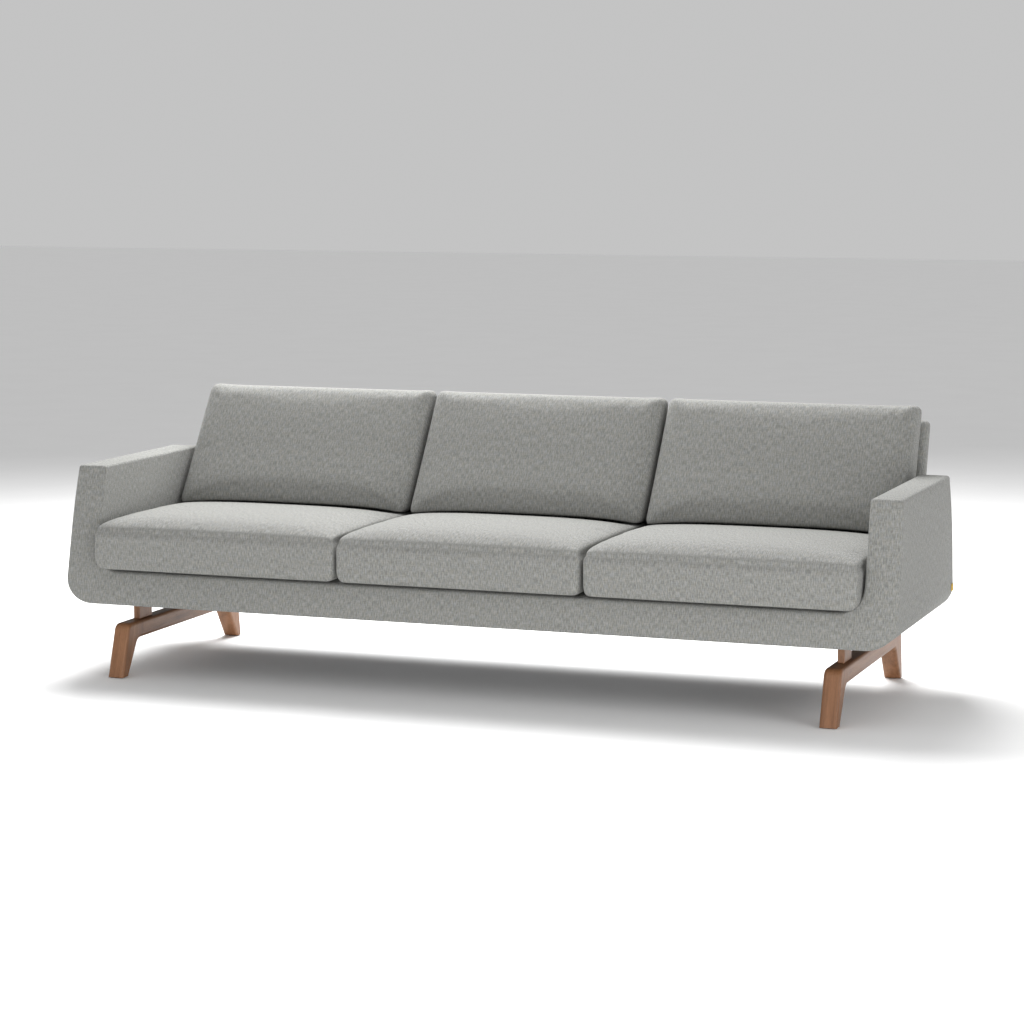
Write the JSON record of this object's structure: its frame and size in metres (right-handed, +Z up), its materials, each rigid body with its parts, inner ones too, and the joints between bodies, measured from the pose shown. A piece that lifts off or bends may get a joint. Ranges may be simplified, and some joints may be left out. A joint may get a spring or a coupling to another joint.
{
  "type": "sofa",
  "caption": "Wide upholstered sofa with a one-piece wrapped body, loose seat and back cushions, and low raked walnut trestle legs.",
  "frame": {"origin": "on the floor, below the centre of the object's box", "axes": "+X along the sofa's width towards its right arm as seen from the front, +Y from front to back, +Z up"},
  "size_m": [2.5385, 0.9039, 0.8231],
  "materials": {
    "upholstery_fabric": "heathered light grey woven wool blend, matt",
    "walnut": "polished walnut",
    "frame_wood": "bare sawn hardwood inside the body",
    "bolt_steel": "zinc plated",
    "nylon": "dark brown nylon glide",
    "webbing": "woven elastic webbing",
    "dust_cloth": "black nonwoven cloth",
    "tab_cloth": "mustard woven tab, blank"
  },
  "bodies": {
    "body": {"arm_board_left": "frame_wood", "arm_board_right": "frame_wood", "arm_upholstery_left": "upholstery_fabric", "arm_upholstery_right": "upholstery_fabric", "back_post_1": "frame_wood", "back_post_2": "frame_wood", "back_post_3": "frame_wood", "back_post_4": "frame_wood", "back_top_rail": "frame_wood", "back_upholstery": "upholstery_fabric", "corner_block_front_left": "frame_wood", "corner_block_front_right": "frame_wood", "corner_block_rear_left": "frame_wood", "corner_block_rear_right": "frame_wood", "cross_rail_left": "frame_wood", "cross_rail_right": "frame_wood", "dust_cover": "dust_cloth", "front_bolt_1_left": "bolt_steel", "front_bolt_1_right": "bolt_steel", "front_bolt_2_left": "bolt_steel", "front_bolt_2_right": "bolt_steel", "front_glide_left": "nylon", "front_glide_right": "nylon", "front_leg_left": "walnut", "front_leg_right": "walnut", "front_post_left": "walnut", "front_post_right": "walnut", "front_rail": "frame_wood", "front_rail_upholstery": "upholstery_fabric", "label_tab": "tab_cloth", "outside_back_panel": "upholstery_fabric", "rear_bolt_1_left": "bolt_steel", "rear_bolt_1_right": "bolt_steel", "rear_bolt_2_left": "bolt_steel", "rear_bolt_2_right": "bolt_steel", "rear_glide_left": "nylon", "rear_glide_right": "nylon", "rear_leg_left": "walnut", "rear_leg_right": "walnut", "rear_post_left": "walnut", "rear_post_right": "walnut", "rear_rail": "frame_wood", "seat_deck": "upholstery_fabric", "seat_webbing": "webbing", "side_rail_left": "frame_wood", "side_rail_right": "frame_wood", "stretcher_left": "walnut", "stretcher_right": "walnut"},
    "seat_cushion_left": {"seat_cushion_left": "upholstery_fabric"},
    "seat_cushion_centre": {"seat_cushion_centre": "upholstery_fabric"},
    "seat_cushion_right": {"seat_cushion_right": "upholstery_fabric"},
    "back_cushion_left": {"back_cushion_left": "upholstery_fabric"},
    "back_cushion_centre": {"back_cushion_centre": "upholstery_fabric"},
    "back_cushion_right": {"back_cushion_right": "upholstery_fabric"}
  },
  "joints": [
    {"name": "seat_cushion_left_pull", "type": "slide", "parent": "body", "child": "seat_cushion_left", "axis": [0, -1, 0], "range_m": [0, 0.72]},
    {"name": "seat_cushion_centre_pull", "type": "slide", "parent": "body", "child": "seat_cushion_centre", "axis": [0, -1, 0], "range_m": [0, 0.72]},
    {"name": "seat_cushion_right_pull", "type": "slide", "parent": "body", "child": "seat_cushion_right", "axis": [0, -1, 0], "range_m": [0, 0.72]},
    {"name": "back_cushion_left_lift", "type": "slide", "parent": "body", "child": "back_cushion_left", "axis": [0, 0.347, 0.9379], "range_m": [0, 0.45]},
    {"name": "back_cushion_centre_lift", "type": "slide", "parent": "body", "child": "back_cushion_centre", "axis": [0, 0.347, 0.9379], "range_m": [0, 0.45]},
    {"name": "back_cushion_right_lift", "type": "slide", "parent": "body", "child": "back_cushion_right", "axis": [0, 0.347, 0.9379], "range_m": [0, 0.45]}
  ]
}
